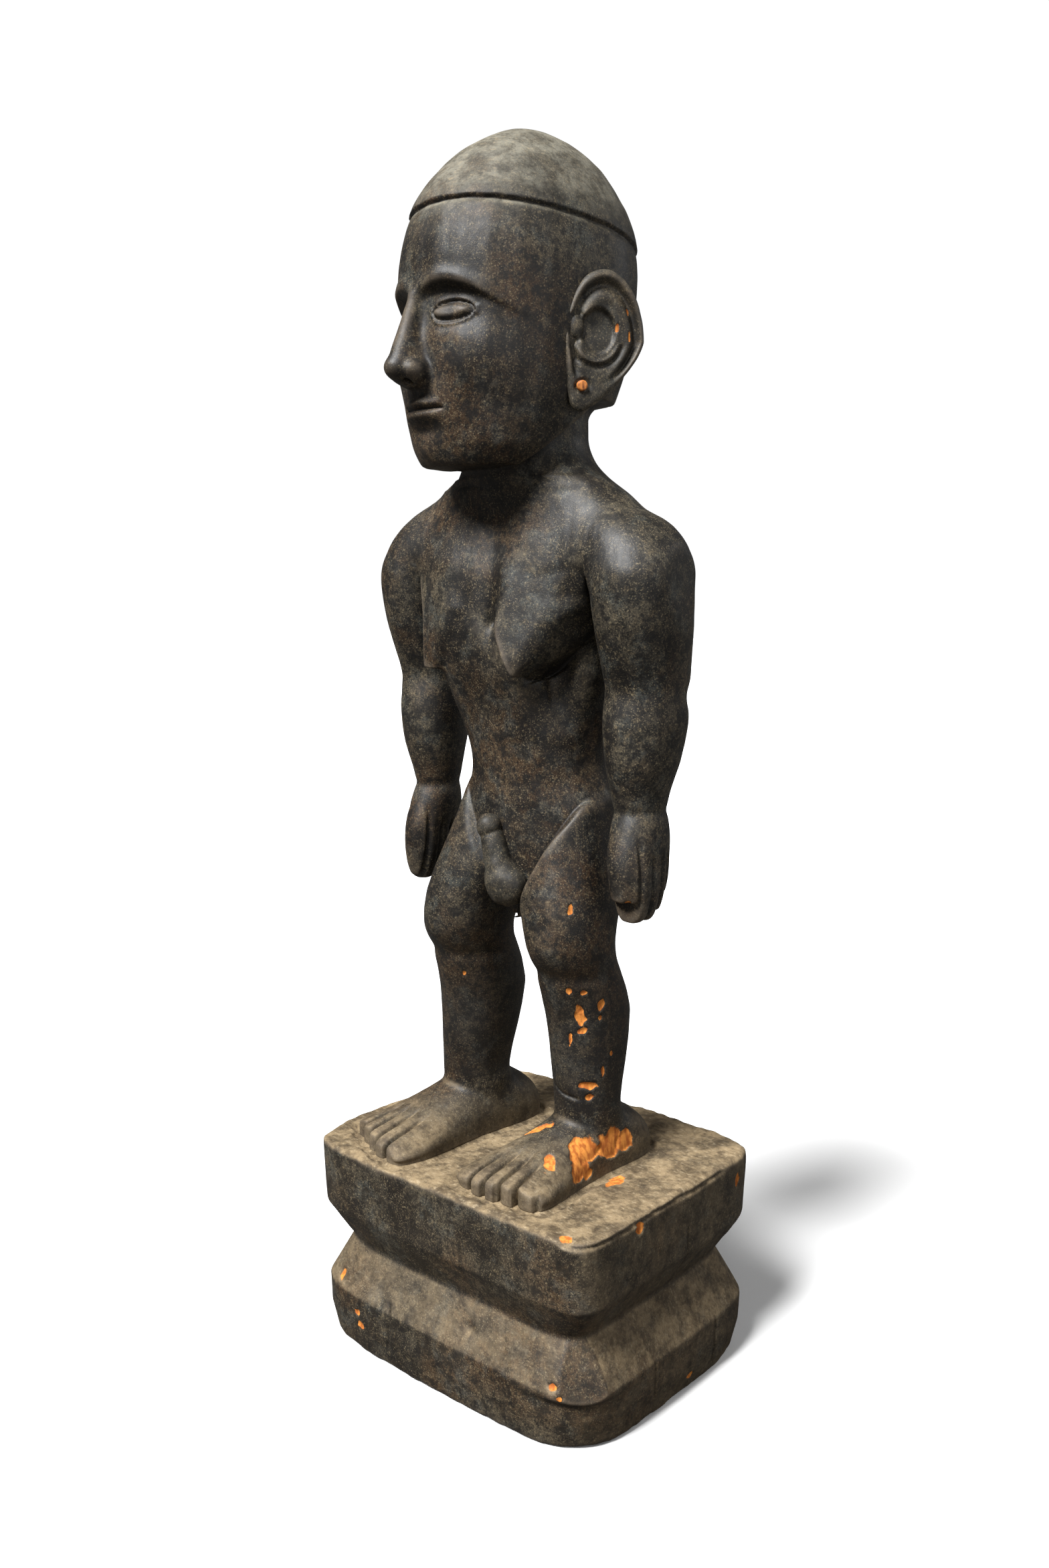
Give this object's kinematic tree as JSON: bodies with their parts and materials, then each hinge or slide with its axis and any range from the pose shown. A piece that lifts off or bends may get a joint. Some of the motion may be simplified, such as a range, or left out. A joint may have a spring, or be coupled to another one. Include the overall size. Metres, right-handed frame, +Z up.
{
  "type": "carved ancestor figure",
  "caption": "Standing carved wooden ancestor figure with a smooth cap and large ears, on a waisted plinth with rounded corners.",
  "frame": {"origin": "centre of the plinth's underside", "axes": "+Z up, the plinth's wide side along X, the figure faces -Y and its left hand is at +X"},
  "size_m": [0.1948, 0.1558, 0.6075],
  "materials": {
    "dark_patina": "hand-rubbed dark patina with a soft sheen",
    "dusty_patina": "worn dark patina with pale dust in the tool marks",
    "bare_wood": "bare matt wood"
  },
  "bodies": {
    "root": {"left_lower_leg": "dark_patina", "left_thigh": "dark_patina", "right_lower_leg": "dark_patina", "right_thigh": "dark_patina", "abdomen": "dark_patina", "chest": "dark_patina", "neck": "dark_patina", "left_forearm": "dark_patina", "left_upper_arm": "dark_patina", "left_hand": "dark_patina", "right_forearm": "dark_patina", "right_upper_arm": "dark_patina", "right_hand": "dark_patina", "genitals": "dark_patina", "head": "dark_patina", "cap": "dark_patina", "left_ear": "dark_patina", "right_ear": "dark_patina", "plinth_lower_tier": "dusty_patina", "plinth_upper_tier": "dusty_patina", "left_foot": "dusty_patina", "right_foot": "dusty_patina", "left_ear_plug": "bare_wood", "right_ear_plug": "bare_wood"}
  },
  "joints": []
}
